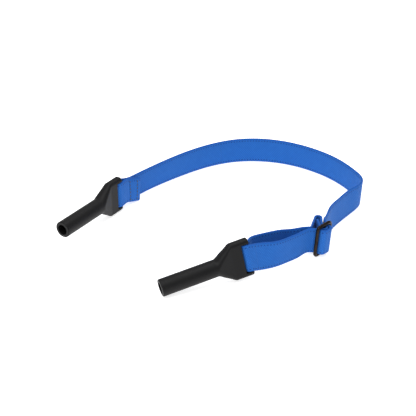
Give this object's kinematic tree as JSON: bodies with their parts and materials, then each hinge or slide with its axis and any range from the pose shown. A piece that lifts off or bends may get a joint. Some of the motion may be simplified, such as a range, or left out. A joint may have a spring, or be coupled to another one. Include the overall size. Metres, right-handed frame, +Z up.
{
  "type": "eyeglass retainer strap",
  "caption": "Flat woven neck strap for eyeglasses, with a moulded silicone temple sleeve on each end and a wire three-bar slider that sets its length.",
  "frame": {"origin": "on the table under the middle of the whole strap", "axes": "+X along the longest side of the horseshoe, +Y from its open side to its closed side, +Z up across the width of the band"},
  "size_m": [0.1669, 0.1489, 0.0225],
  "materials": {
    "webbing": "flat woven elastic webbing, semi-dull",
    "silicone": "matt moulded silicone",
    "wire": "black nickel plated wire",
    "thread": "dark sewing thread"
  },
  "bodies": {
    "root": {"webbing_back_arc": "webbing", "webbing_left_flex": "webbing", "webbing_right_flex": "webbing"},
    "left_arm": {"webbing_left_arm": "webbing", "webbing_far_fold": "webbing", "webbing_far_tab": "webbing", "far_tab_stitches": "thread"},
    "far_sleeve": {"far_sleeve": "silicone"},
    "right_arm": {"webbing_right_bend": "webbing", "webbing_return": "webbing"},
    "slider": {"slider_frame": "wire", "slider_centre_bar": "wire", "webbing_over_bar": "webbing", "webbing_sewn_loop": "webbing", "sewn_loop_stitches": "thread"},
    "near_loop": {"webbing_near_fold": "webbing", "webbing_front_leg": "webbing", "webbing_inner_leg": "webbing"},
    "near_sleeve": {"near_sleeve": "silicone"}
  },
  "joints": [
    {"name": "left_flex", "type": "hinge", "parent": "root", "child": "left_arm", "pos_m": [-0.0238, 0.0503, 0.0075], "axis": [0, 0, -1], "range_deg": [-5, 20], "deforming": ["webbing_left_flex"]},
    {"name": "right_flex", "type": "hinge", "parent": "root", "child": "right_arm", "pos_m": [0.0376, 0.071, 0.0075], "axis": [0, 0, 1], "range_deg": [-5, 20], "deforming": ["webbing_right_flex"]},
    {"name": "far_sleeve_swing", "type": "hinge", "parent": "left_arm", "child": "far_sleeve", "pos_m": [-0.05397, 0.01348, 0.0104], "axis": [0, 0, 1], "range_deg": [-30, 30]},
    {"name": "slider_adjust", "type": "slide", "parent": "right_arm", "child": "slider", "axis": [-0.7071, -0.7071, 0], "range_m": [-0.015, 0.02], "deforming": ["webbing_return"]},
    {"name": "loop_take_up", "type": "slide", "parent": "slider", "child": "near_loop", "axis": [-0.7071, -0.7071, 0], "range_m": [-0.01, 0.0075], "deforming": ["webbing_front_leg", "webbing_inner_leg"]},
    {"name": "near_sleeve_swing", "type": "hinge", "parent": "near_loop", "child": "near_sleeve", "pos_m": [0.01579, -0.05371, 0.01208], "axis": [-0.2039, 0.0825, 0.9755], "range_deg": [-30, 30]}
  ],
  "couplings": [
    {"joint": "loop_take_up", "follows": "slider_adjust", "ratio": -0.5}
  ]
}
